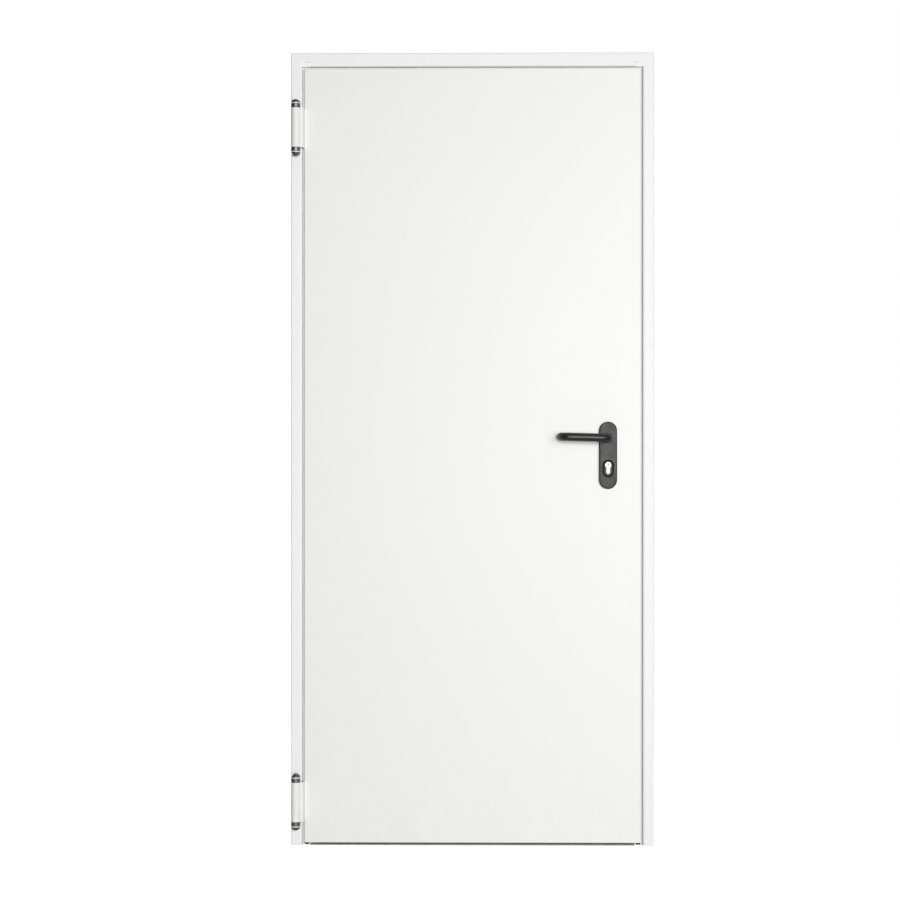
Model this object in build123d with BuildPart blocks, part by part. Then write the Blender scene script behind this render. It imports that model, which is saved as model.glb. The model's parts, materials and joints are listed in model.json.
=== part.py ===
from build123d import *
from math import cos, radians, sin
import os

os.makedirs("parts", exist_ok=True)

# ---------------------------------------------------------------- sizes, mm
# X runs to the right, -Y is the pull side, +Z is up, Z = 0 is floor level.

# steel frame
frame_w = 970.0            # outside width
frame_h = 2120.0           # outside height
front_y = -48.0            # plane of the frame face and of the leaf face
frame_depth = 96.0
sheet = 2.0                # frame sheet
jamb_face = 30.0           # face width of both jambs
head_face = 37.0           # face width of the head
seat = 21.0                # width of the rebate seat
rebate = 15.5              # depth of the rebate behind the face
outer_return = 12.0        # return at the outside edge
rear_return = 20.0         # flange at the back edge
rear_lip = 12.0            # lip at the end of that flange
nose_r = 6.0               # rounded nose beside the leaf
bend_r = 2.8               # outside radius of the other bends

half_w = frame_w / 2
rear_y = front_y + frame_depth
rebate_x = half_w - jamb_face          # 455
clear_x = rebate_x - seat              # 434
rebate_z = frame_h - head_face         # 2083
clear_z = rebate_z - seat              # 2062

# leaf
leaf_half = 450.0          # lip edge
body_half = 426.0          # thick part of the leaf
leaf_bottom = 7.0
leaf_top = 2078.0
body_top = 2054.0
lip_t = 8.0                # thickness of the lip
leaf_t = 60.0              # thickness of the whole leaf
skin = 1.5                 # leaf sheet
lip_rear_y = front_y + lip_t
leaf_rear_y = front_y + leaf_t

# hinges
pin_x = -471.0
pin_y = front_y - 18.0
upper_hinge_z = 1917.0
lower_hinge_z = 120.0
barrel_r = 12.5
barrel_h = 105.0
pin_r = 6.0
bore_r = pin_r + 0.05
ring_h = 10.4              # plain ring next to the barrel
groove_h = 3.0             # neck between ring and cap
cap_h = 9.6                # domed cap
knuckle_gap = 0.5

# handles and cylinder
handle_x = 362.0
lever_z = 1089.6
cylinder_z = lever_z - 72.0
plate_w = 48.5
plate_h = 180.0
plate_mid_z = 1043.5
plate_t = 10.0
lever_r = 11.0
lever_reach = 126.0        # spindle axis to the centre of the return
lever_out = 52.0           # leaf face to the centre of the grip
lever_bend = 22.0
lever_end_gap = 14.0       # leaf face to the end of the return
lever_rise = 3.5           # the free end sits a little higher than the spindle

# threshold and wall fixings
bar_t = 2.0
bar_front_y = front_y + 2.0
bar_rear_y = 14.0
fix_r = 5.5
fix_y = 28.0
fix_lower = (230.0, 790.0)
fix_upper = (1350.0, 1910.0)


def frame_outline(face, side):
    """Closed outline of the folded sheet, as (distance in from the outside
    edge, distance back from the face), visible side first."""
    deep = face + side
    return [
        (0, outer_return), (0, 0), (face, 0), (face, rebate), (deep, rebate),
        (deep, frame_depth), (deep - rear_return, frame_depth),
        (deep - rear_return, frame_depth - rear_lip),
        (deep - rear_return + sheet, frame_depth - rear_lip),
        (deep - rear_return + sheet, frame_depth - sheet),
        (deep - sheet, frame_depth - sheet), (deep - sheet, rebate + sheet),
        (face - sheet, rebate + sheet), (face - sheet, sheet),
        (sheet, sheet), (sheet, outer_return),
    ]


def frame_bends(face, side):
    """Corner points of that outline with their radii."""
    deep = face + side
    return [
        ((0, 0), bend_r), ((sheet, sheet), bend_r - sheet),
        ((face, 0), nose_r), ((face - sheet, sheet), nose_r - sheet),
        ((face, rebate), bend_r - sheet), ((face - sheet, rebate + sheet), bend_r),
        ((deep, rebate), bend_r), ((deep - sheet, rebate + sheet), bend_r - sheet),
        ((deep, frame_depth), bend_r), ((deep - sheet, frame_depth - sheet), bend_r - sheet),
        ((deep - rear_return, frame_depth), bend_r),
        ((deep - rear_return + sheet, frame_depth - sheet), bend_r - sheet),
    ]


# corner joint line between jamb and head, from outside to inside
joint_line = [
    (half_w + 12, frame_h + 12 * head_face / jamb_face),
    (half_w, frame_h), (rebate_x, rebate_z), (clear_x, clear_z),
    (clear_x - 20, clear_z - 20),
]

# ---------------------------------------------------------------- frame
with BuildPart() as hinge_jamb:
    with BuildSketch(Plane.XY) as hinge_section:
        with BuildLine():
            Polyline(*[(-half_w + u, front_y + v) for u, v in frame_outline(jamb_face, seat)], close=True)
        make_face()
        for (u, v), r in frame_bends(jamb_face, seat):
            corner = hinge_section.vertices().sort_by_distance(Vector(-half_w + u, front_y + v, 0))[0]
            fillet(corner, radius=r)
    extrude(amount=frame_h + 10)
    with BuildSketch(Plane.XZ.offset(-(rear_y + 10))):
        with BuildLine():
            Polyline(
                (-half_w - 12, -1), *[(-x, z) for x, z in joint_line],
                (-clear_x + 20, -1), close=True)
        make_face()
    extrude(amount=frame_depth + 20, mode=Mode.INTERSECT)
    # wall fixing holes through the soffit
    with BuildSketch(Plane.YZ.offset(-clear_x - 10)):
        with Locations(*[(fix_y, z) for z in fix_lower + fix_upper]):
            Circle(fix_r)
    extrude(amount=20, mode=Mode.SUBTRACT)
hinge_jamb.part.label = "hinge_jamb"
export_step(hinge_jamb.part, "parts/hinge_jamb.step")

latch_z = 1098.0
bolt_z = 1022.0
lock_y = -4.0

with BuildPart() as lock_jamb:
    with BuildSketch(Plane.XY) as lock_section:
        with BuildLine():
            Polyline(*[(half_w - u, front_y + v) for u, v in frame_outline(jamb_face, seat)], close=True)
        make_face()
        for (u, v), r in frame_bends(jamb_face, seat):
            corner = lock_section.vertices().sort_by_distance(Vector(half_w - u, front_y + v, 0))[0]
            fillet(corner, radius=r)
    extrude(amount=frame_h + 10)
    with BuildSketch(Plane.XZ.offset(-(rear_y + 10))):
        with BuildLine():
            Polyline(
                (half_w + 12, -1), *joint_line,
                (clear_x - 20, -1), close=True)
        make_face()
    extrude(amount=frame_depth + 20, mode=Mode.INTERSECT)
    with BuildSketch(Plane.YZ.offset(clear_x - 10)):
        with Locations(*[(fix_y, z) for z in fix_lower + fix_upper]):
            Circle(fix_r)
        # keeps for the latch and the dead bolt
        with Locations((lock_y, latch_z)):
            RectangleRounded(19, 36, 2)
        with Locations((lock_y, bolt_z)):
            RectangleRounded(19, 52, 2)
    extrude(amount=20, mode=Mode.SUBTRACT)
lock_jamb.part.label = "lock_jamb"
export_step(lock_jamb.part, "parts/lock_jamb.step")

notch_h = 11.0

with BuildPart() as head:
    with BuildSketch(Plane.YZ.offset(-half_w - 14)) as head_section:
        with BuildLine():
            Polyline(*[(front_y + v, frame_h - u) for u, v in frame_outline(head_face, seat)], close=True)
        make_face()
        for (u, v), r in frame_bends(head_face, seat):
            corner = head_section.vertices().sort_by_distance(Vector(front_y + v, frame_h - u, 0))[0]
            fillet(corner, radius=r)
    extrude(amount=frame_w + 28)
    with BuildSketch(Plane.XZ.offset(-(rear_y + 10))):
        with BuildLine():
            Polyline(*joint_line, *[(-x, z) for x, z in reversed(joint_line)], close=True)
        make_face()
    extrude(amount=frame_depth + 20, mode=Mode.INTERSECT)
    # backing behind the corner relief notches
    for s in (-1, 1):
        with Locations((s * (clear_x + 9.4), front_y + 5.5, rebate_z + 9)):
            Box(22.6, 7.4, 17.6)
    # corner relief notches where the rounded nose stops
    for s in (-1, 1):
        with Locations((s * (clear_x + rebate_x) / 2, front_y + 1.6, rebate_z + notch_h / 2)):
            Box(seat, 3.4, notch_h, mode=Mode.SUBTRACT)
        with Locations((s * (clear_x + 1.6), front_y + 5, rebate_z + notch_h / 2 + 1.5)):
            Box(3.2, 14, notch_h, mode=Mode.SUBTRACT)
head.part.label = "head"
export_step(head.part, "parts/head.step")

with BuildPart() as threshold_bar:
    with BuildSketch(Plane.XY):
        with Locations((0, (bar_front_y + bar_rear_y) / 2)):
            Rectangle(2 * clear_x, bar_rear_y - bar_front_y)
    extrude(amount=bar_t)
    chamfer(threshold_bar.edges().filter_by(Axis.X).group_by(Axis.Z)[-1], length=0.6)
threshold_bar.part.label = "threshold_bar"
export_step(threshold_bar.part, "parts/threshold_bar.step")

# seals on the rebate seat: a flat foot with a rounded bead
seal_foot = 12.0
seal_t = 1.6
bead_r = 1.25
seal_y = front_y + rebate

with BuildPart() as hinge_side_seal:
    with BuildSketch(Plane.XY):
        with Locations((-(clear_x + 4 + seal_foot / 2), seal_y - seal_t / 2)):
            Rectangle(seal_foot, seal_t)
        with Locations((-(clear_x + 7), seal_y - bead_r)):
            Circle(bead_r)
    extrude(amount=rebate_z - 8)
hinge_side_seal.part.label = "hinge_side_seal"
export_step(hinge_side_seal.part, "parts/hinge_side_seal.step")

with BuildPart() as lock_side_seal:
    with BuildSketch(Plane.XY):
        with Locations((clear_x + 4 + seal_foot / 2, seal_y - seal_t / 2)):
            Rectangle(seal_foot, seal_t)
        with Locations((clear_x + 7, seal_y - bead_r)):
            Circle(bead_r)
    extrude(amount=rebate_z - 8)
lock_side_seal.part.label = "lock_side_seal"
export_step(lock_side_seal.part, "parts/lock_side_seal.step")

with BuildPart() as head_seal:
    with BuildSketch(Plane.YZ.offset(-(clear_x + 3))):
        with Locations((seal_y - seal_t / 2, clear_z + 4 + seal_foot / 2)):
            Rectangle(seal_t, seal_foot)
        with Locations((seal_y - bead_r, clear_z + 7)):
            Circle(bead_r)
    extrude(amount=2 * (clear_x + 3))
head_seal.part.label = "head_seal"
export_step(head_seal.part, "parts/head_seal.step")

with BuildPart() as strike_plate:
    with BuildSketch(Plane.YZ.offset(clear_x + sheet)):
        with Locations((lock_y, (latch_z + bolt_z) / 2)):
            RectangleRounded(24, 190, 4)
        with Locations((lock_y, latch_z)):
            RectangleRounded(15, 30, 2, mode=Mode.SUBTRACT)
        with Locations((lock_y, bolt_z)):
            RectangleRounded(15, 44, 2, mode=Mode.SUBTRACT)
    extrude(amount=2.5)
strike_plate.part.label = "strike_plate"
export_step(strike_plate.part, "parts/strike_plate.step")

# ---------------------------------------------------------------- hinges
web_w = 12.0
cap_z = ring_h + groove_h + 0.6
knuckle_h = ring_h + groove_h + cap_h
pin_half = barrel_h / 2 + knuckle_gap + knuckle_h - 4.3
half_barrel = barrel_h / 2 + knuckle_gap
# the cap is a low dome through its rim and its top
cap_r = (barrel_r ** 2 + (knuckle_h - cap_z) ** 2) / (2 * (knuckle_h - cap_z))
cap_mid = (cap_r * cos(radians(54)), knuckle_h - cap_r + cap_r * sin(radians(54)))
knuckle_profile = [
    (bore_r, 0), (barrel_r - 0.6, 0), (barrel_r, 0.6), (barrel_r, ring_h - 0.6),
    (barrel_r - 0.6, ring_h), (barrel_r - 1.2, ring_h), (barrel_r - 1.2, ring_h + groove_h),
    (barrel_r, ring_h + groove_h), (barrel_r, cap_z),
]
hinge_axis = Axis((pin_x, pin_y, 0), (0, 0, 1))

with BuildPart() as upper_hinge_top_knuckle:
    with BuildSketch(Plane(origin=(pin_x, pin_y, upper_hinge_z + half_barrel), x_dir=(1, 0, 0), z_dir=(0, -1, 0))):
        with BuildLine():
            Polyline(*knuckle_profile)
            ThreePointArc((barrel_r, cap_z), cap_mid, (0, knuckle_h))
            Polyline((0, knuckle_h), (0, knuckle_h - 4), (bore_r, knuckle_h - 4), (bore_r, 0))
        make_face()
    revolve(axis=hinge_axis)
    with Locations((pin_x, front_y - 5, upper_hinge_z + half_barrel + ring_h / 2)):
        Box(web_w, 10, ring_h - 1.2)
upper_hinge_top_knuckle.part.label = "upper_hinge_top_knuckle"
export_step(upper_hinge_top_knuckle.part, "parts/upper_hinge_top_knuckle.step")

with BuildPart() as upper_hinge_bottom_knuckle:
    with BuildSketch(Plane(origin=(pin_x, pin_y, upper_hinge_z - half_barrel), x_dir=(1, 0, 0), z_dir=(0, 1, 0))):
        with BuildLine():
            Polyline(*knuckle_profile)
            ThreePointArc((barrel_r, cap_z), cap_mid, (0, knuckle_h))
            Polyline((0, knuckle_h), (0, knuckle_h - 4), (bore_r, knuckle_h - 4), (bore_r, 0))
        make_face()
    revolve(axis=hinge_axis)
    with Locations((pin_x, front_y - 5, upper_hinge_z - half_barrel - ring_h / 2)):
        Box(web_w, 10, ring_h - 1.2)
upper_hinge_bottom_knuckle.part.label = "upper_hinge_bottom_knuckle"
export_step(upper_hinge_bottom_knuckle.part, "parts/upper_hinge_bottom_knuckle.step")

with BuildPart() as lower_hinge_top_knuckle:
    with BuildSketch(Plane(origin=(pin_x, pin_y, lower_hinge_z + half_barrel), x_dir=(1, 0, 0), z_dir=(0, -1, 0))):
        with BuildLine():
            Polyline(*knuckle_profile)
            ThreePointArc((barrel_r, cap_z), cap_mid, (0, knuckle_h))
            Polyline((0, knuckle_h), (0, knuckle_h - 4), (bore_r, knuckle_h - 4), (bore_r, 0))
        make_face()
    revolve(axis=hinge_axis)
    with Locations((pin_x, front_y - 5, lower_hinge_z + half_barrel + ring_h / 2)):
        Box(web_w, 10, ring_h - 1.2)
lower_hinge_top_knuckle.part.label = "lower_hinge_top_knuckle"
export_step(lower_hinge_top_knuckle.part, "parts/lower_hinge_top_knuckle.step")

with BuildPart() as lower_hinge_bottom_knuckle:
    with BuildSketch(Plane(origin=(pin_x, pin_y, lower_hinge_z - half_barrel), x_dir=(1, 0, 0), z_dir=(0, 1, 0))):
        with BuildLine():
            Polyline(*knuckle_profile)
            ThreePointArc((barrel_r, cap_z), cap_mid, (0, knuckle_h))
            Polyline((0, knuckle_h), (0, knuckle_h - 4), (bore_r, knuckle_h - 4), (bore_r, 0))
        make_face()
    revolve(axis=hinge_axis)
    with Locations((pin_x, front_y - 5, lower_hinge_z - half_barrel - ring_h / 2)):
        Box(web_w, 10, ring_h - 1.2)
lower_hinge_bottom_knuckle.part.label = "lower_hinge_bottom_knuckle"
export_step(lower_hinge_bottom_knuckle.part, "parts/lower_hinge_bottom_knuckle.step")

with BuildPart() as upper_hinge_pin:
    with Locations((pin_x, pin_y, upper_hinge_z)):
        Cylinder(pin_r, 2 * pin_half)
    chamfer(upper_hinge_pin.edges(), length=0.8)
upper_hinge_pin.part.label = "upper_hinge_pin"
export_step(upper_hinge_pin.part, "parts/upper_hinge_pin.step")

with BuildPart() as lower_hinge_pin:
    with Locations((pin_x, pin_y, lower_hinge_z)):
        Cylinder(pin_r, 2 * pin_half)
    chamfer(lower_hinge_pin.edges(), length=0.8)
lower_hinge_pin.part.label = "lower_hinge_pin"
export_step(lower_hinge_pin.part, "parts/lower_hinge_pin.step")

# leaf side of each hinge: barrel with a wing folded back along the leaf edge
wing_t = 2.6
wing_end_y = lip_rear_y - 2
wing_section = [
    (pin_x, pin_y - 1.3), (-leaf_half - 3, pin_y - 1.3), (-leaf_half, pin_y + 1.7),
    (-leaf_half, wing_end_y), (-leaf_half - wing_t, wing_end_y),
    (-leaf_half - wing_t, pin_y + 1.3), (pin_x, pin_y + 1.3),
]

with BuildPart() as upper_hinge_barrel:
    with BuildSketch(Plane.XY.offset(upper_hinge_z - barrel_h / 2)):
        with Locations((pin_x, pin_y)):
            Circle(barrel_r)
        with BuildLine():
            Polyline(*wing_section, close=True)
        make_face()
        with Locations((pin_x, pin_y)):
            Circle(bore_r, mode=Mode.SUBTRACT)
    extrude(amount=barrel_h)
    rims = upper_hinge_barrel.edges().filter_by(GeomType.CIRCLE)
    chamfer(rims.filter_by(lambda e: abs(e.radius - barrel_r) < 0.01), length=0.6)
upper_hinge_barrel.part.label = "upper_hinge_barrel"
export_step(upper_hinge_barrel.part, "parts/upper_hinge_barrel.step")

with BuildPart() as lower_hinge_barrel:
    with BuildSketch(Plane.XY.offset(lower_hinge_z - barrel_h / 2)):
        with Locations((pin_x, pin_y)):
            Circle(barrel_r)
        with BuildLine():
            Polyline(*wing_section, close=True)
        make_face()
        with Locations((pin_x, pin_y)):
            Circle(bore_r, mode=Mode.SUBTRACT)
    extrude(amount=barrel_h)
    rims = lower_hinge_barrel.edges().filter_by(GeomType.CIRCLE)
    chamfer(rims.filter_by(lambda e: abs(e.radius - barrel_r) < 0.01), length=0.6)
lower_hinge_barrel.part.label = "lower_hinge_barrel"
export_step(lower_hinge_barrel.part, "parts/lower_hinge_barrel.step")

# ---------------------------------------------------------------- leaf
fold_r = 2.5
front_hole_r = 11.5
plug_r = 6.45
housing_r = 8.5
stem_w = 10.4
stem_bottom = 993.5

forend_w = 24.0
forend_h = 235.0
forend_z = 1058.0
forend_t = 3.0
case_x0 = 331.0
case_t = 16.0
case_z0 = 958.0
case_z1 = 1152.0

with BuildPart() as leaf_front_skin:
    with Locations((0, front_y + lip_t / 2, (leaf_bottom + leaf_top) / 2)):
        Box(2 * leaf_half, lip_t, leaf_top - leaf_bottom)
    fillet(leaf_front_skin.faces().sort_by(Axis.Y)[0].edges(), radius=fold_r)
    offset(amount=-skin, openings=leaf_front_skin.faces().sort_by(Axis.Y)[-1])
    # flange around the back of the lip, left, right and top
    with BuildSketch(Plane.XZ.offset(-lip_rear_y)):
        with Locations((0, (leaf_bottom + leaf_top) / 2)):
            Rectangle(2 * leaf_half, leaf_top - leaf_bottom)
        with Locations((0, (body_top - skin) / 2)):
            Rectangle(2 * (body_half - skin), body_top - skin, mode=Mode.SUBTRACT)
    extrude(amount=skin)
    # openings under the handle plate
    with BuildSketch(Plane.XZ.offset(-front_y + 2)):
        with Locations((handle_x, lever_z)):
            Circle(front_hole_r)
        with Locations((handle_x, cylinder_z)):
            Circle(housing_r + 1)
        with Locations((handle_x, (cylinder_z + stem_bottom + stem_w / 2) / 2)):
            SlotCenterToCenter(cylinder_z - stem_bottom - stem_w / 2, stem_w + 2, rotation=90)
    extrude(amount=-6, mode=Mode.SUBTRACT)
leaf_front_skin.part.label = "leaf_front_skin"
export_step(leaf_front_skin.part, "parts/leaf_front_skin.step")

with BuildPart() as leaf_rear_skin:
    with Locations((0, (lip_rear_y + leaf_rear_y) / 2, (leaf_bottom + body_top) / 2)):
        Box(2 * body_half, leaf_rear_y - lip_rear_y, body_top - leaf_bottom)
    fillet(leaf_rear_skin.faces().sort_by(Axis.Y)[-1].edges(), radius=fold_r)
    offset(amount=-skin, openings=leaf_rear_skin.faces().sort_by(Axis.Y)[0])
    with BuildSketch(Plane.XZ.offset(-leaf_rear_y - 2)):
        with Locations((handle_x, lever_z)):
            Circle(front_hole_r)
        with Locations((handle_x, cylinder_z)):
            Circle(housing_r + 1)
        with Locations((handle_x, (cylinder_z + stem_bottom + stem_w / 2) / 2)):
            SlotCenterToCenter(cylinder_z - stem_bottom - stem_w / 2, stem_w + 2, rotation=90)
    extrude(amount=6, mode=Mode.SUBTRACT)
    # opening for the lock forend
    with Locations((body_half, lock_y, forend_z)):
        Box(8, forend_w, forend_h, mode=Mode.SUBTRACT)
leaf_rear_skin.part.label = "leaf_rear_skin"
export_step(leaf_rear_skin.part, "parts/leaf_rear_skin.step")

with BuildPart() as leaf_core:
    with Locations((0, (front_y + skin + lip_rear_y - skin) / 2, (leaf_bottom + leaf_top) / 2)):
        Box(2 * (leaf_half - skin) - 1, lip_t - 2 * skin - 0.6, leaf_top - leaf_bottom - 2 * skin - 1)
    with Locations((0, (lip_rear_y - 2 * skin - 2 + leaf_rear_y - skin - 0.3) / 2, (leaf_bottom + body_top) / 2)):
        Box(2 * (body_half - skin) - 1, leaf_t - lip_t + skin + 1.7, body_top - leaf_bottom - 2 * skin - 1)
    # lock pocket
    with Locations(((case_x0 - 1 + body_half) / 2, lock_y, (case_z0 + case_z1) / 2)):
        Box(body_half - case_x0 + 1, case_t + 1, case_z1 - case_z0 + 2, mode=Mode.SUBTRACT)
    with Locations((body_half - 2, lock_y, forend_z)):
        Box(8, forend_w + 1, forend_h + 1, mode=Mode.SUBTRACT)
    with BuildSketch(Plane.XZ.offset(-front_y + 2)):
        with Locations((handle_x, lever_z)):
            Circle(front_hole_r)
        with Locations((handle_x, cylinder_z)):
            Circle(housing_r + 1)
        with Locations((handle_x, (cylinder_z + stem_bottom + stem_w / 2) / 2)):
            SlotCenterToCenter(cylinder_z - stem_bottom - stem_w / 2, stem_w + 2, rotation=90)
    extrude(amount=-leaf_t - 4, mode=Mode.SUBTRACT)
leaf_core.part.label = "leaf_core"
export_step(leaf_core.part, "parts/leaf_core.step")

latch_w = 12.6
latch_h = 27.6
dead_h = 38.0
bolt_in = 30.0             # length of each bolt inside the case
bolt_proud = 3.0           # both bolts drawn back

with BuildPart() as lock_case:
    with Locations(((case_x0 + body_half - forend_t) / 2, lock_y, (case_z0 + case_z1) / 2)):
        Box(body_half - forend_t - case_x0, case_t, case_z1 - case_z0)
    with BuildSketch(Plane.XZ.offset(-lock_y + case_t)):
        with Locations((handle_x, lever_z)):
            Circle(7.5)
        with Locations((handle_x, cylinder_z)):
            Circle(housing_r + 0.3)
        with Locations((handle_x, (cylinder_z + stem_bottom + stem_w / 2) / 2)):
            SlotCenterToCenter(cylinder_z - stem_bottom - stem_w / 2, stem_w + 0.6, rotation=90)
    extrude(amount=-2 * case_t, mode=Mode.SUBTRACT)
    with Locations((body_half - forend_t - bolt_in / 2, lock_y, latch_z)):
        Box(bolt_in, latch_w + 0.2, latch_h + 0.2, mode=Mode.SUBTRACT)
    with Locations((body_half - forend_t - bolt_in / 2, lock_y, bolt_z)):
        Box(bolt_in, latch_w + 0.2, dead_h + 0.2, mode=Mode.SUBTRACT)
lock_case.part.label = "lock_case"
export_step(lock_case.part, "parts/lock_case.step")

with BuildPart() as lock_forend:
    with BuildSketch(Plane.YZ.offset(body_half - forend_t)):
        with Locations((lock_y, forend_z)):
            RectangleRounded(forend_w - 0.2, forend_h - 0.2, 2)
        with Locations((lock_y, latch_z)):
            Rectangle(latch_w + 0.2, latch_h + 0.2, mode=Mode.SUBTRACT)
        with Locations((lock_y, bolt_z)):
            Rectangle(latch_w + 0.2, dead_h + 0.2, mode=Mode.SUBTRACT)
    extrude(amount=forend_t)
lock_forend.part.label = "lock_forend"
export_step(lock_forend.part, "parts/lock_forend.step")

with BuildPart() as latch_bolt:
    with BuildSketch(Plane.XY.offset(latch_z - latch_h / 2)):
        with BuildLine():
            Polyline(
                (body_half - forend_t - bolt_in, lock_y - latch_w / 2),
                (body_half, lock_y - latch_w / 2),
                (body_half + bolt_proud, lock_y - latch_w / 2 + 6),
                (body_half + bolt_proud, lock_y + latch_w / 2),
                (body_half - forend_t - bolt_in, lock_y + latch_w / 2), close=True)
        make_face()
    extrude(amount=latch_h)
latch_bolt.part.label = "latch_bolt"
export_step(latch_bolt.part, "parts/latch_bolt.step")

with BuildPart() as dead_bolt:
    with Locations((body_half - forend_t - bolt_in / 2 + 2.4, lock_y, bolt_z)):
        Box(bolt_in + 4.8, latch_w, dead_h)
    chamfer(dead_bolt.faces().sort_by(Axis.X)[-1].edges(), length=0.8)
dead_bolt.part.label = "dead_bolt"
export_step(dead_bolt.part, "parts/dead_bolt.step")

# ---------------------------------------------------------------- handle sets
lever_bore = lever_r + 0.1
recess_w = 31.0
recess_h = 47.5
recess_z = 1008.3
recess_d = 4.0
plate_edge = 4.5
front_face = Plane.XZ.offset(-front_y)
rear_face = Plane(origin=(0, leaf_rear_y, 0), x_dir=(-1, 0, 0), z_dir=(0, 1, 0))

with BuildPart() as front_handle_plate:
    with BuildSketch(front_face):
        with Locations((handle_x, plate_mid_z)):
            SlotOverall(plate_h, plate_w, rotation=90)
    extrude(amount=plate_t)
    fillet(front_handle_plate.faces().sort_by(Axis.Y)[0].edges(), radius=plate_edge)
    with BuildSketch(front_face.offset(plate_t - recess_d)):
        with Locations((handle_x, recess_z)):
            SlotOverall(recess_h, recess_w, rotation=90)
    extrude(amount=recess_d + 2, mode=Mode.SUBTRACT)
    with BuildSketch(front_face):
        with Locations((handle_x, lever_z)):
            Circle(lever_bore)
        with Locations((handle_x, cylinder_z)):
            Circle(housing_r + 0.3)
        with Locations((handle_x, (cylinder_z + stem_bottom + stem_w / 2) / 2)):
            SlotCenterToCenter(cylinder_z - stem_bottom - stem_w / 2, stem_w + 0.6, rotation=90)
    extrude(amount=plate_t + 2, mode=Mode.SUBTRACT)
front_handle_plate.part.label = "front_handle_plate"
export_step(front_handle_plate.part, "parts/front_handle_plate.step")

with BuildPart() as rear_handle_plate:
    with BuildSketch(rear_face):
        with Locations((-handle_x, plate_mid_z)):
            SlotOverall(plate_h, plate_w, rotation=90)
    extrude(amount=plate_t)
    fillet(rear_handle_plate.faces().sort_by(Axis.Y)[-1].edges(), radius=plate_edge)
    with BuildSketch(rear_face.offset(plate_t - recess_d)):
        with Locations((-handle_x, recess_z)):
            SlotOverall(recess_h, recess_w, rotation=90)
    extrude(amount=recess_d + 2, mode=Mode.SUBTRACT)
    with BuildSketch(rear_face):
        with Locations((-handle_x, lever_z)):
            Circle(lever_bore)
        with Locations((-handle_x, cylinder_z)):
            Circle(housing_r + 0.3)
        with Locations((-handle_x, (cylinder_z + stem_bottom + stem_w / 2) / 2)):
            SlotCenterToCenter(cylinder_z - stem_bottom - stem_w / 2, stem_w + 0.6, rotation=90)
    extrude(amount=plate_t + 2, mode=Mode.SUBTRACT)
rear_handle_plate.part.label = "rear_handle_plate"
export_step(rear_handle_plate.part, "parts/rear_handle_plate.step")

plug_depth = 30.0
plug_proud = 0.4
cyl_front_y = front_y - plate_t - 0.5
cyl_rear_y = leaf_rear_y + plate_t + 0.5

with BuildPart() as profile_cylinder:
    with BuildSketch(Plane.XZ.offset(-cyl_rear_y)):
        with Locations((handle_x, cylinder_z)):
            Circle(housing_r)
        with Locations((handle_x, (cylinder_z + stem_bottom + stem_w / 2) / 2)):
            SlotCenterToCenter(cylinder_z - stem_bottom - stem_w / 2, stem_w, rotation=90)
    extrude(amount=cyl_rear_y - cyl_front_y)
    chamfer(profile_cylinder.faces().sort_by(Axis.Y)[0].edges(), length=0.4)
    chamfer(profile_cylinder.faces().sort_by(Axis.Y)[-1].edges(), length=0.4)
    for plane_y in (cyl_front_y + plug_depth, cyl_rear_y):
        with BuildSketch(Plane.XZ.offset(-plane_y)):
            with Locations((handle_x, cylinder_z)):
                Circle(plug_r + 0.05)
        extrude(amount=plug_depth, mode=Mode.SUBTRACT)
profile_cylinder.part.label = "profile_cylinder"
export_step(profile_cylinder.part, "parts/profile_cylinder.step")

with BuildPart() as front_cylinder_plug:
    with BuildSketch(Plane.XZ.offset(-(cyl_front_y + plug_depth))):
        with Locations((handle_x, cylinder_z)):
            Circle(plug_r)
    extrude(amount=plug_depth + plug_proud)
    with BuildSketch(Plane.XZ.offset(-(cyl_front_y + 3))):
        with Locations((handle_x, cylinder_z - 0.6)):
            SlotOverall(9, 2.4, rotation=90)
        with Locations((handle_x, cylinder_z + 2.6)):
            Circle(1.7)
    extrude(amount=4, mode=Mode.SUBTRACT)
front_cylinder_plug.part.label = "front_cylinder_plug"
export_step(front_cylinder_plug.part, "parts/front_cylinder_plug.step")

with BuildPart() as rear_cylinder_plug:
    with BuildSketch(Plane.XZ.offset(-(cyl_rear_y + plug_proud))):
        with Locations((handle_x, cylinder_z)):
            Circle(plug_r)
    extrude(amount=plug_depth + plug_proud)
    with BuildSketch(Plane.XZ.offset(-(cyl_rear_y + 1))):
        with Locations((handle_x, cylinder_z - 0.6)):
            SlotOverall(9, 2.4, rotation=90)
        with Locations((handle_x, cylinder_z + 2.6)):
            Circle(1.7)
    extrude(amount=4, mode=Mode.SUBTRACT)
rear_cylinder_plug.part.label = "rear_cylinder_plug"
export_step(rear_cylinder_plug.part, "parts/rear_cylinder_plug.step")

# levers: a round bar bent out, along and back towards the leaf
spindle_w = 9.0
socket_w = spindle_w + 0.1
front_grip_y = front_y - lever_out
rear_grip_y = leaf_rear_y + lever_out
lever_end_x = handle_x - lever_reach
neck_in = 1.0              # lever neck stands this far off the leaf skin

with BuildPart() as front_lever:
    with BuildLine() as front_path:
        FilletPolyline(
            (handle_x, front_y - neck_in, lever_z), (handle_x, front_grip_y, lever_z),
            (lever_end_x, front_grip_y, lever_z + lever_rise),
            (lever_end_x, front_y - lever_end_gap, lever_z + lever_rise),
            radius=lever_bend)
    with BuildSketch(Plane.XZ.offset(-(front_y - neck_in))):
        with Locations((handle_x, lever_z)):
            Circle(lever_r)
    sweep()
    fillet(front_lever.faces().filter_by(Axis.Y).sort_by(Axis.X)[0].edges(), radius=3.5)
    with BuildSketch(Plane.XZ.offset(-(front_y - neck_in))):
        with Locations((handle_x, lever_z)):
            Rectangle(socket_w, socket_w)
    extrude(amount=26, mode=Mode.SUBTRACT)
front_lever.part.label = "front_lever"
export_step(front_lever.part, "parts/front_lever.step")

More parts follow.
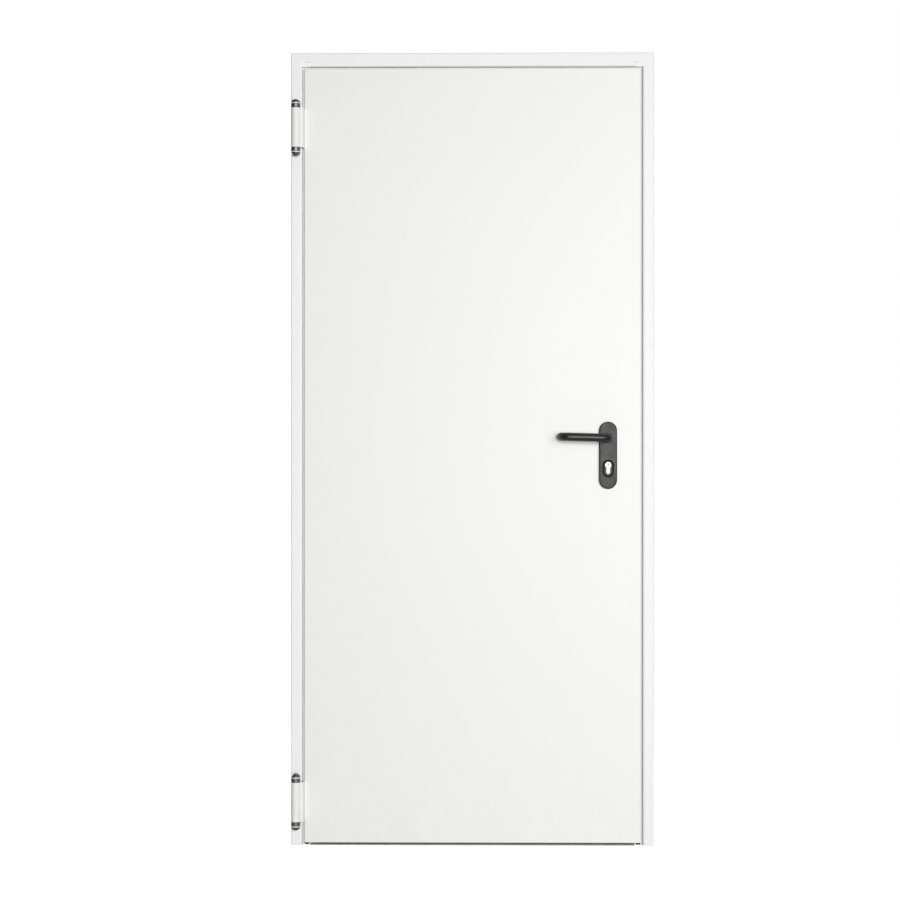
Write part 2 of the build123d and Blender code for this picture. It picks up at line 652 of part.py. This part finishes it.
with BuildPart() as rear_lever:
    with BuildLine() as rear_path:
        FilletPolyline(
            (handle_x, leaf_rear_y + neck_in, lever_z), (handle_x, rear_grip_y, lever_z),
            (lever_end_x, rear_grip_y, lever_z + lever_rise),
            (lever_end_x, leaf_rear_y + lever_end_gap, lever_z + lever_rise),
            radius=lever_bend)
    with BuildSketch(Plane.XZ.offset(-(leaf_rear_y + neck_in))):
        with Locations((handle_x, lever_z)):
            Circle(lever_r)
    sweep()
    fillet(rear_lever.faces().filter_by(Axis.Y).sort_by(Axis.X)[0].edges(), radius=3.5)
    with BuildSketch(Plane.XZ.offset(-(leaf_rear_y + neck_in))):
        with Locations((handle_x, lever_z)):
            Rectangle(socket_w, socket_w)
    extrude(amount=-26, mode=Mode.SUBTRACT)
rear_lever.part.label = "rear_lever"
export_step(rear_lever.part, "parts/rear_lever.step")

spindle_front_y = front_y - neck_in - 25.5
spindle_rear_y = leaf_rear_y + neck_in + 25.5

with BuildPart() as lever_spindle:
    with Locations((handle_x, (spindle_front_y + spindle_rear_y) / 2, lever_z)):
        Box(spindle_w, spindle_rear_y - spindle_front_y, spindle_w)
    chamfer(lever_spindle.edges().filter_by(Axis.Y), length=0.5)
lever_spindle.part.label = "lever_spindle"
export_step(lever_spindle.part, "parts/lever_spindle.step")
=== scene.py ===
import json
import math

import bmesh
import bpy
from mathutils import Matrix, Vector


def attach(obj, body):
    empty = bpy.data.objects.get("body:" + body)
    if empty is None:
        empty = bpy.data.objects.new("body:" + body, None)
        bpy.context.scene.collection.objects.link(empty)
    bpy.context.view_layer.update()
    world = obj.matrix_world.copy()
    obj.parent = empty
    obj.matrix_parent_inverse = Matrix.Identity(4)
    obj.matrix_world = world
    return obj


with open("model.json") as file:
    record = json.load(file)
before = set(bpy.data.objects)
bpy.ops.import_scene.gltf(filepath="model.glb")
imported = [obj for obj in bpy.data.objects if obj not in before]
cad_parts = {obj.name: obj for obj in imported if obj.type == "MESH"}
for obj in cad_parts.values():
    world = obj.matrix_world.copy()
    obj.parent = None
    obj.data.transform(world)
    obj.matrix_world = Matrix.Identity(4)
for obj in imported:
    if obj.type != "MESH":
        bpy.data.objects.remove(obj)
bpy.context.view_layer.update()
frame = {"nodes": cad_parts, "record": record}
nodes = frame["nodes"]


# ------------------------------------------------------------ node helpers
class Mat:
    """A node material with a few short ways of adding what surfaces need."""

    def __init__(self, name):
        self.m = bpy.data.materials.new(name)
        self.m.use_nodes = True
        self.t = self.m.node_tree
        self.p = self.t.nodes["Principled BSDF"]
        self.coord = self.t.nodes.new("ShaderNodeTexCoord").outputs["Object"]

    def set(self, **values):
        for key, value in values.items():
            self.p.inputs[key.replace("_", " ")].default_value = value
        return self

    def mapped(self, scale):
        n = self.t.nodes.new("ShaderNodeMapping")
        n.inputs["Scale"].default_value = scale
        self.t.links.new(self.coord, n.inputs["Vector"])
        return n.outputs["Vector"]

    def noise(self, scale, detail=3.0, rough=0.55, stretch=(1, 1, 1)):
        n = self.t.nodes.new("ShaderNodeTexNoise")
        n.inputs["Scale"].default_value = scale
        n.inputs["Detail"].default_value = detail
        n.inputs["Roughness"].default_value = rough
        self.t.links.new(self.mapped(stretch), n.inputs["Vector"])
        return n.outputs["Fac"]

    def cells(self, scale, stretch=(1, 1, 1)):
        n = self.t.nodes.new("ShaderNodeTexVoronoi")
        n.inputs["Scale"].default_value = scale
        self.t.links.new(self.mapped(stretch), n.inputs["Vector"])
        return n.outputs["Distance"]

    def ramp(self, fac, low, high, colours):
        n = self.t.nodes.new("ShaderNodeValToRGB")
        n.color_ramp.elements[0].position = low
        n.color_ramp.elements[1].position = high
        n.color_ramp.elements[0].color = (*colours[0], 1)
        n.color_ramp.elements[1].color = (*colours[1], 1)
        self.t.links.new(fac, n.inputs["Fac"])
        return n.outputs["Color"]

    def mix(self, fac, a, b):
        n = self.t.nodes.new("ShaderNodeMix")
        n.data_type = "RGBA"
        for socket, value in ((n.inputs[6], a), (n.inputs[7], b)):
            if isinstance(value, tuple):
                socket.default_value = (*value, 1)
            else:
                self.t.links.new(value, socket)
        self.t.links.new(fac, n.inputs[0])
        return n.outputs[2]

    def span(self, fac, low, high, from_low=0.3, from_high=0.7):
        n = self.t.nodes.new("ShaderNodeMapRange")
        n.inputs["From Min"].default_value = from_low
        n.inputs["From Max"].default_value = from_high
        n.inputs["To Min"].default_value = low
        n.inputs["To Max"].default_value = high
        self.t.links.new(fac, n.inputs["Value"])
        return n.outputs["Result"]

    def axis_span(self, axis, low, high, from_low, from_high):
        n = self.t.nodes.new("ShaderNodeSeparateXYZ")
        self.t.links.new(self.coord, n.inputs[0])
        return self.span(n.outputs[axis], low, high, from_low, from_high)

    def times(self, a, b):
        n = self.t.nodes.new("ShaderNodeMath")
        n.operation = "MULTIPLY"
        for socket, value in ((n.inputs[0], a), (n.inputs[1], b)):
            if isinstance(value, (int, float)):
                socket.default_value = value
            else:
                self.t.links.new(value, socket)
        return n.outputs[0]

    def link(self, socket, value):
        self.t.links.new(value, self.p.inputs[socket])
        return self

    def bump(self, height, strength, distance, after=None):
        n = self.t.nodes.new("ShaderNodeBump")
        n.inputs["Strength"].default_value = strength
        n.inputs["Distance"].default_value = distance
        self.t.links.new(height, n.inputs["Height"])
        if after is not None:
            self.t.links.new(after, n.inputs["Normal"])
        self.t.links.new(n.outputs["Normal"], self.p.inputs["Normal"])
        return n.outputs["Normal"]


# ------------------------------------------------------------ materials
def powder_coat(name, base, warm, painted_side_shade=0.0):
    """White powder coat: fine orange peel, faint cloudiness, a little dust low down.

    The side-shade factor paints light and shade into the coat: paler on the hinge side, greyer on the lock side, as
    the light falls across the frame."""
    m = Mat(name)
    m.set(IOR=1.5)
    cloud = m.noise(1.6, 4.0, 0.6)
    speck = m.noise(240.0, 2.0, 0.5)
    body = m.mix(m.span(cloud, 0.0, 1.0), base, warm)
    # painted shade: a tone running across X, paler at the hinge side and greyer at the lock side, standing in for how
    # the light falls
    if painted_side_shade:
        side = m.axis_span(0, 0.0, 1.0, -0.485, 0.485)
        side_shade_tone = m.mix(side, (1.0 + 0.4 * painted_side_shade,) * 3, (1.0 - 0.6 * painted_side_shade,) * 3)
        product = m.t.nodes.new("ShaderNodeVectorMath")
        product.operation = "MULTIPLY"
        m.t.links.new(body, product.inputs[0])
        m.t.links.new(side_shade_tone, product.inputs[1])
        body = product.outputs[0]
    low = m.axis_span(2, 1.0, 0.0, 0.0, 0.28)
    grime = m.times(m.times(low, m.span(m.noise(22.0, 5.0, 0.65, (1, 1, 0.35)), 0.0, 1.0, 0.42, 0.74)), 0.10)
    body = m.mix(grime, body, (base[0] * 0.72, base[1] * 0.70, base[2] * 0.64))
    m.link("Base Color", m.mix(m.span(speck, 0.0, 0.05), body, (base[0] * 0.93, base[1] * 0.93, base[2] * 0.93)))
    m.link("Roughness", m.span(m.noise(60.0, 3.0, 0.5), 0.54, 0.64))
    peel = m.bump(m.noise(310.0, 2.0, 0.45), 0.10, 0.0006)
    m.bump(m.noise(3.2, 2.0, 0.4), 0.018, 0.02, peel)
    return m.m


# the frame's coat carries painted side shade, paler at the hinge jamb and greyer at the lock jamb
frame_paint = powder_coat("frame_paint", (0.818, 0.820, 0.820), (0.804, 0.807, 0.807), painted_side_shade=0.07)
leaf_paint = powder_coat("leaf_paint", (0.800, 0.806, 0.768), (0.788, 0.795, 0.755))
barrel_paint = powder_coat("barrel_paint", (0.800, 0.803, 0.795), (0.788, 0.792, 0.784))


def plated(name, tint, rough, streak=(1, 1, 1)):
    """Polished and plated steel with faint turning marks and a slight haze."""
    m = Mat(name)
    m.set(Metallic=1.0)
    haze = m.noise(55.0, 4.0, 0.6)
    lines = m.noise(900.0, 2.0, 0.5, streak)
    m.link("Base Color", m.mix(m.span(haze, 0.0, 1.0), tint, tuple(c * 0.86 for c in tint)))
    m.link("Roughness", m.span(haze, rough, rough + 0.09))
    m.bump(lines, 0.06, 0.0002)
    return m.m


hinge_metal = plated("hinge_metal", (0.22, 0.22, 0.225), 0.36, (0.05, 0.05, 1))
pin_steel = plated("pin_steel", (0.60, 0.60, 0.61), 0.26, (0.05, 0.05, 1))
lock_steel = plated("lock_steel", (0.62, 0.62, 0.61), 0.30, (1, 1, 0.04))
bolt_steel = plated("bolt_steel", (0.70, 0.69, 0.67), 0.22, (0.05, 1, 1))


def brass(name):
    m = Mat(name)
    m.set(Metallic=1.0)
    haze = m.noise(140.0, 4.0, 0.6)
    m.link("Base Color", m.mix(m.span(haze, 0.0, 1.0), (0.63, 0.645, 0.53), (0.57, 0.58, 0.46)))
    m.link("Roughness", m.span(haze, 0.57, 0.65))
    m.bump(m.noise(1500.0, 2.0, 0.5, (0.06, 1, 1)), 0.08, 0.0001)
    return m.m


cylinder_brass = brass("cylinder_brass")


def plastic(name, dark, light, rough, grain, coat=0.0, speckle=0.0):
    """Moulded polyamide: fine sparkle-free grain, rubbed a little smoother where the noise is high."""
    m = Mat(name)
    m.set(IOR=1.52, Coat_Weight=coat, Coat_Roughness=0.22)
    blotch = m.noise(38.0, 4.0, 0.6)
    body = m.mix(m.span(blotch, 0.0, 1.0), dark, light)
    if speckle:
        # pale and dark grains of the moulded texture
        grains = m.span(m.noise(420.0, 3.0, 0.6), 1.0 - speckle, 1.0 + speckle, 0.35, 0.65)
        shade = m.t.nodes.new("ShaderNodeVectorMath")
        shade.operation = "SCALE"
        m.t.links.new(body, shade.inputs[0])
        m.t.links.new(grains, shade.inputs["Scale"])
        body = shade.outputs[0]
    m.link("Base Color", body)
    m.link("Roughness", m.span(blotch, rough + 0.05, rough - 0.04))
    m.bump(m.noise(grain, 3.0, 0.6), 0.22, 0.0003)
    return m.m


handle_plastic = plastic("handle_plastic", (0.022, 0.022, 0.0235), (0.034, 0.034, 0.0355), 0.58, 1100.0, speckle=0.75)
lever_plastic = plastic("lever_plastic", (0.006, 0.006, 0.0065), (0.009, 0.009, 0.0095), 0.44, 700.0, 0.04)


def rubber(name):
    m = Mat(name)
    blotch = m.noise(90.0, 4.0, 0.6, (1, 1, 0.3))
    m.link("Base Color", m.ramp(blotch, 0.35, 0.75, ((0.014, 0.014, 0.015), (0.028, 0.028, 0.028))))
    m.link("Roughness", m.span(blotch, 0.68, 0.82))
    m.bump(m.noise(1300.0, 2.0, 0.5), 0.25, 0.0003)
    return m.m


def grey_bar(name):
    """Dull zinc-grey flat bar, rubbed brighter by shoes in streaks running front to back."""
    m = Mat(name)
    m.set(Metallic=0.35, IOR=1.5)
    scuff = m.noise(46.0, 6.0, 0.7, (1, 0.12, 1))
    flakes = m.cells(160.0)
    base = m.mix(m.span(flakes, 0.0, 1.0, 0.1, 0.7), (0.50, 0.51, 0.51), (0.42, 0.425, 0.43))
    m.link("Base Color", m.mix(m.span(scuff, 0.0, 1.0, 0.45, 0.75), base, (0.56, 0.56, 0.555)))
    m.link("Roughness", m.span(scuff, 0.62, 0.46))
    m.bump(m.noise(500.0, 3.0, 0.6), 0.20, 0.0003)
    return m.m


def wool(name):
    m = Mat(name)
    fibres = m.noise(420.0, 5.0, 0.7, (1, 0.15, 1))
    m.link("Base Color", m.ramp(fibres, 0.3, 0.75, ((0.30, 0.26, 0.15), (0.48, 0.44, 0.30))))
    m.set(Roughness=0.95)
    m.bump(fibres, 0.6, 0.001)
    return m.m


seal_rubber = rubber("seal_rubber")
threshold_paint = grey_bar("threshold_paint")
core_wool = wool("core_wool")

# near-black matte material that paints the shade in the cylinder recess's groove
m = Mat("recess_shade_black")
m.set(Specular_IOR_Level=0.25)
m.link("Base Color", m.mix(m.noise(120.0), (0.0045, 0.0048, 0.0035), (0.009, 0.009, 0.007)))
m.link("Roughness", m.span(m.noise(260.0), 0.70, 0.85))
recess_shade_black = m.m

m = Mat("nylon_white")
m.set(IOR=1.53)
m.link("Base Color", m.mix(m.noise(60.0), (0.80, 0.80, 0.78), (0.74, 0.74, 0.71)))
m.link("Roughness", m.span(m.noise(200.0), 0.34, 0.44))
nylon_white = m.m

# dark metal that paints the shade inside the keyway
m = Mat("keyway_painted_shade")
m.set(Metallic=1.0)
m.link("Base Color", m.mix(m.noise(300.0), (0.10, 0.09, 0.06), (0.05, 0.045, 0.03)))
m.link("Roughness", m.span(m.noise(200.0), 0.45, 0.60))
keyway_painted_shade = m.m

slot_material = {
    "frame_paint": frame_paint, "leaf_paint": leaf_paint, "barrel_paint": barrel_paint,
    "threshold_paint": threshold_paint, "seal_rubber": seal_rubber, "hinge_metal": hinge_metal,
    "pin_steel": pin_steel, "core_wool": core_wool, "lock_steel": lock_steel,
    "bolt_steel": bolt_steel, "handle_plastic": handle_plastic, "lever_plastic": lever_plastic,
    "cylinder_brass": cylinder_brass,
}
for entry in frame["record"]["subparts"]:
    ob = nodes[entry["node"]]
    ob.data.materials.clear()
    ob.data.materials.append(slot_material[entry["material_slot"]])


# ------------------------------------------------------------ mesh helpers
def mesh_object(name, verts, faces, material, smooth=True, sharp=35):
    me = bpy.data.meshes.new(name)
    me.from_pydata([tuple(v) for v in verts], [], faces)
    me.update()
    ob = bpy.data.objects.new(name, me)
    bpy.context.scene.collection.objects.link(ob)
    me.materials.append(material)
    bm = bmesh.new()
    bm.from_mesh(me)
    bmesh.ops.recalc_face_normals(bm, faces=bm.faces)
    bm.to_mesh(me)
    bm.free()
    if smooth:
        for poly in me.polygons:
            poly.use_smooth = True
        me.set_sharp_from_angle(angle=math.radians(sharp))
    return ob


def lathe(name, origin, axis, profile, material, steps=72, closed=False):
    """Turns (radius, height) points about an axis through origin."""
    w = Vector(axis).normalized()
    u = w.orthogonal().normalized()
    v = w.cross(u)
    o = Vector(origin)
    verts, rings = [], []
    for r, h in profile:
        if r < 1e-7:
            rings.append([len(verts)])
            verts.append(o + w * h)
            continue
        ring = []
        for i in range(steps):
            a = 2 * math.pi * i / steps
            ring.append(len(verts))
            verts.append(o + w * h + (u * math.cos(a) + v * math.sin(a)) * r)
        rings.append(ring)
    pairs = list(zip(rings, rings[1:]))
    if closed:
        pairs.append((rings[-1], rings[0]))
    faces = []
    for a, b in pairs:
        for i in range(steps):
            j = (i + 1) % steps
            if len(a) == 1 and len(b) == 1:
                continue
            if len(a) == 1:
                faces.append((a[0], b[i], b[j]))
            elif len(b) == 1:
                faces.append((a[i], a[j], b[0]))
            else:
                faces.append((a[i], a[j], b[j], b[i]))
    return mesh_object(name, verts, faces, material)


def ring_profile(inner, outer, low, high, edge):
    """A flat ring with rounded outer edges, as (radius, height) points, closed."""
    pts = [(inner, low)]
    for k in range(5):
        a = math.radians(-90 + 90 * k / 4)
        pts.append((outer - edge + edge * math.cos(a), low + edge + edge * math.sin(a)))
    for k in range(5):
        a = math.radians(90 * k / 4)
        pts.append((outer - edge + edge * math.cos(a), high - edge + edge * math.sin(a)))
    pts.append((inner, high))
    return pts


# ------------------------------------------------------------ added details
pin_x, pin_y = -0.471, -0.066
barrel_half = 0.0525
ring_h, groove_h = 0.0104, 0.003

for word, mid in (("upper", 1.917), ("lower", 0.120)):
    for side, s in (("top", 1), ("bottom", -1)):
        base = mid + s * (barrel_half + 0.0005 + ring_h)
        ob = lathe(f"{word}_hinge_{side}_bush", (pin_x, pin_y, base), (0, 0, s),
                   ring_profile(0.01132, 0.01235, 0.0002, groove_h - 0.0002, 0.0005), nylon_white, closed=True)
        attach(ob, "frame")

handle_x, lever_z = 0.362, 1.0896
for word, y, s in (("front", -0.058, -1), ("rear", 0.022, 1)):
    # collar around the lever's neck, on the plate
    ob = lathe(f"{word}_lever_collar", (handle_x, y, lever_z), (0, s, 0),
               [(0.01112, -0.0004), (0.0128, -0.0004), (0.0128, 0.0008), (0.0125, 0.0014), (0.0120, 0.0017),
                (0.0115, 0.0017), (0.01112, 0.0014)], lever_plastic, closed=True)
    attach(ob, "leaf")

# inner shield of the cylinder recess, and a near-black band around it that is painted shade for the shaded groove and
# wall of the recess
cylinder_z, recess_z = 1.0176, 1.0083


def slot_reach(angle, width, height):
    """Distance from the middle of an upright slot to its outline."""
    r = width / 2
    half = height / 2 - r
    dx, dz = math.cos(angle), math.sin(angle)
    if abs(dx) > 1e-9 and abs(dz) * r / abs(dx) <= half:
        return r / abs(dx)
    c = half * abs(dz)
    return c + math.sqrt(max(c * c - half * half + r * r, 0.0))


def housing_reach(angle, head_r, stem_half, low):
    """Distance from the recess middle to the outline of the profile cylinder."""
    dx, dz = math.cos(angle), math.sin(angle)
    up = cylinder_z - recess_z
    b = up * dz
    disc = b * b - up * up + head_r * head_r
    reach = b + math.sqrt(disc) if disc >= 0 and b > 0 else 0.0
    # the stem, rounded at its lower end
    stem_low = recess_z - low - stem_half
    if dz < 0 and abs(dx) * stem_low > stem_half * abs(dz):
        stem = stem_half / abs(dx)
    elif dz < 0:
        c = stem_low * abs(dz)
        stem = c + math.sqrt(max(c * c - stem_low * stem_low + stem_half * stem_half, 0.0))
    else:
        stem = stem_half / abs(dx) if abs(dx) > 1e-6 and stem_half / abs(dx) * dz < up else 0.0
    return max(reach, stem)


def recess_rings(name, rings, material, s):
    """Joins rings of (outline, y) around the recess middle into a closed band."""
    angles = [2 * math.pi * i / 160 for i in range(160)]
    verts, faces = [], []
    for outline, y in rings:
        for a in angles:
            r = outline(a)
            verts.append((handle_x + r * math.cos(a), y, recess_z + r * math.sin(a)))
    n = len(angles)
    for k in range(len(rings)):
        a0, b0 = k * n, ((k + 1) % len(rings)) * n
        for i in range(n):
            j = (i + 1) % n
            faces.append((a0 + i, a0 + j, b0 + j, b0 + i))
    ob = mesh_object(name, verts, faces, material)
    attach(ob, "leaf")
    return ob


for word, floor_y, s in (("front", -0.054, -1), ("rear", 0.018, 1)):
    def hole(a):
        return housing_reach(a, 0.0088, 0.0053, 0.9928)

    def shield(d):
        return lambda a: slot_reach(a, 0.0222 - 2 * d, 0.0390 - 2 * d)

    ob = recess_rings(f"{word}_cylinder_shield", [
        (shield(0), floor_y - s * 0.0003), (shield(0), floor_y + s * 0.0024), (shield(0.0002), floor_y + s * 0.0029),
        (shield(0.0006), floor_y + s * 0.0032), (shield(0.0011), floor_y + s * 0.0033),
        (hole, floor_y + s * 0.0033), (hole, floor_y - s * 0.0003)], handle_plastic, s)
    # painted shade: a near-black band around the shield standing in for the shaded groove and recess wall
    ob = recess_rings(f"{word}_cylinder_recess_shade", [
        (lambda a: slot_reach(a, 0.0308, 0.0473), floor_y - s * 0.0002),
        (lambda a: slot_reach(a, 0.0308, 0.0473), floor_y + s * 0.0007),
        (lambda a: slot_reach(a, 0.0302, 0.0467), floor_y + s * 0.0010),
        (lambda a: slot_reach(a, 0.0226, 0.0394), floor_y + s * 0.0010),
        (lambda a: slot_reach(a, 0.0224, 0.0392), floor_y - s * 0.0002)], recess_shade_black, s)
    # dark fill inside the keyway, just under the plug's face: painted shade for the shaded depth of the keyway
    face_y = (-0.0589 if s < 0 else 0.0229)
    ob = lathe(f"{word}_keyway_inside", (handle_x, face_y, cylinder_z + 0.0026), (0, s, 0),
               [(0.0, -0.0006), (0.00155, -0.0006), (0.00165, -0.0009), (0.00165, -0.0032), (0.0, -0.0032)],
               keyway_painted_shade, steps=40)
    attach(ob, "leaf")

# countersunk screws in the lock forend
for i, z in enumerate((0.9505, 1.1655)):
    head = [(0.0, -0.0004), (0.0016, -0.0004), (0.0018, 0.00035), (0.0034, 0.00035), (0.00385, 0.0001),
            (0.0040, -0.0004)]
    ob = lathe(f"forend_screw_{i + 1}", (0.426, -0.004, z), (1, 0, 0), head, bolt_steel, steps=40)
    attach(ob, "leaf")

# ------------------------------------------------------------ stage
# pale floor that fades out into the white surroundings
m = Mat("stage_floor")
seen_by = m.t.nodes.new("ShaderNodeLightPath").outputs["Is Camera Ray"]
pale = m.mix(m.noise(7.0, 4.0, 0.5), (0.86, 0.86, 0.855), (0.84, 0.84, 0.838))
m.link("Base Color", m.mix(seen_by, (0.47, 0.47, 0.47), pale))
m.link("Roughness", m.span(m.noise(30.0), 0.75, 0.85))
m.set(Emission_Color=(1, 1, 1, 1), Specular_IOR_Level=0.1)
m.link("Emission Strength", m.span(seen_by, 0.0, 0.70, 0.0, 1.0))
length = m.t.nodes.new("ShaderNodeVectorMath")
length.operation = "LENGTH"
m.t.links.new(m.coord, length.inputs[0])
fade = m.span(length.outputs["Value"], 0.0, 1.0, 1.1, 2.3)
glow = m.t.nodes.new("ShaderNodeEmission")
glow.inputs["Color"].default_value = (1, 1, 1, 1)
m.t.links.new(m.span(seen_by, 0.10, 1.0, 0.0, 1.0), glow.inputs["Strength"])
blend = m.t.nodes.new("ShaderNodeMixShader")
m.t.links.new(fade, blend.inputs[0])
m.t.links.new(m.p.outputs[0], blend.inputs[1])
m.t.links.new(glow.outputs[0], blend.inputs[2])
m.t.links.new(blend.outputs[0], m.t.nodes["Material Output"].inputs["Surface"])
edge = [(2.4 * math.cos(2 * math.pi * i / 96), 2.4 * math.sin(2 * math.pi * i / 96), -0.0005) for i in range(96)]
floor = mesh_object("stage_floor", edge, [tuple(range(96))], m.m, smooth=False)

world = bpy.data.worlds.new("studio")
bpy.context.scene.world = world
world.use_nodes = True
wt = world.node_tree
wt.nodes.clear()
out = wt.nodes.new("ShaderNodeOutputWorld")
seen = wt.nodes.new("ShaderNodeBackground")
seen.inputs["Color"].default_value = (1, 1, 1, 1)
seen.inputs["Strength"].default_value = 1.0
soft = wt.nodes.new("ShaderNodeBackground")
soft.inputs["Color"].default_value = (1.0, 1.0, 1.0, 1)
soft.inputs["Strength"].default_value = 0.10
path = wt.nodes.new("ShaderNodeLightPath")
pick = wt.nodes.new("ShaderNodeMixShader")
wt.links.new(path.outputs["Is Camera Ray"], pick.inputs[0])
wt.links.new(soft.outputs[0], pick.inputs[1])
wt.links.new(seen.outputs[0], pick.inputs[2])
wt.links.new(pick.outputs[0], out.inputs["Surface"])


def softbox(name, place, look, size, power, tint=(1, 1, 1)):
    light = bpy.data.lights.new(name, "AREA")
    light.shape = "RECTANGLE"
    light.size, light.size_y = size
    light.energy = power
    light.color = tint
    ob = bpy.data.objects.new(name, light)
    ob.location = place
    ob.rotation_euler = (Vector(look) - Vector(place)).to_track_quat("-Z", "Y").to_euler()
    bpy.context.scene.collection.objects.link(ob)
    return ob


softbox("front", (0.70, -6.5, 1.45), (0, 0, 1.05), (1.9, 1.9), 316)
softbox("key", (1.5, -2.3, 1.35), (0.3, 0, 1.2), (0.9, 1.4), 20)
softbox("top_fill", (0.4, -1.6, 4.6), (0.2, -0.4, 0.6), (3.0, 2.0), 6)
softbox("top_back_fill", (0.0, 2.6, 4.4), (0, 0, 1.6), (2.4, 1.6), 36)
softbox("back_fill", (0.9, 5.4, 1.8), (0, 0, 1.0), (3.0, 2.4), 22)
softbox("left_fill", (-3.0, 3.6, 1.5), (-0.3, 0, 1.05), (1.6, 2.6), 80)
softbox("right_fill", (3.0, 3.6, 1.5), (0.3, 0, 1.05), (1.6, 2.6), 80)

# ------------------------------------------------------------ camera
# fitted to the frame's outline and the leaf's gaps: the film plane is almost
# parallel to the door and about 4.5 m from its face
distance = 4.5
face_y = -0.048
mm_per_px = 2.674
yaw = math.radians(0.5)
aim_x = -(472.4 - 450.0) * mm_per_px / 1000
cam = bpy.data.cameras.new("camera")
cam.sensor_width = 36.0
cam.lens = 36.0 * distance / (900 * mm_per_px / 1000)
cam.clip_end = 100
camera = bpy.data.objects.new("camera", cam)
camera.location = (aim_x + distance * math.tan(yaw), face_y - distance, 1.0577)
camera.rotation_euler = (math.radians(90), 0, yaw)
bpy.context.scene.collection.objects.link(camera)
bpy.context.scene.camera = camera

scene = bpy.context.scene
scene.view_settings.view_transform = "Standard"
scene.view_settings.look = "None"
scene.view_settings.exposure = 0.0
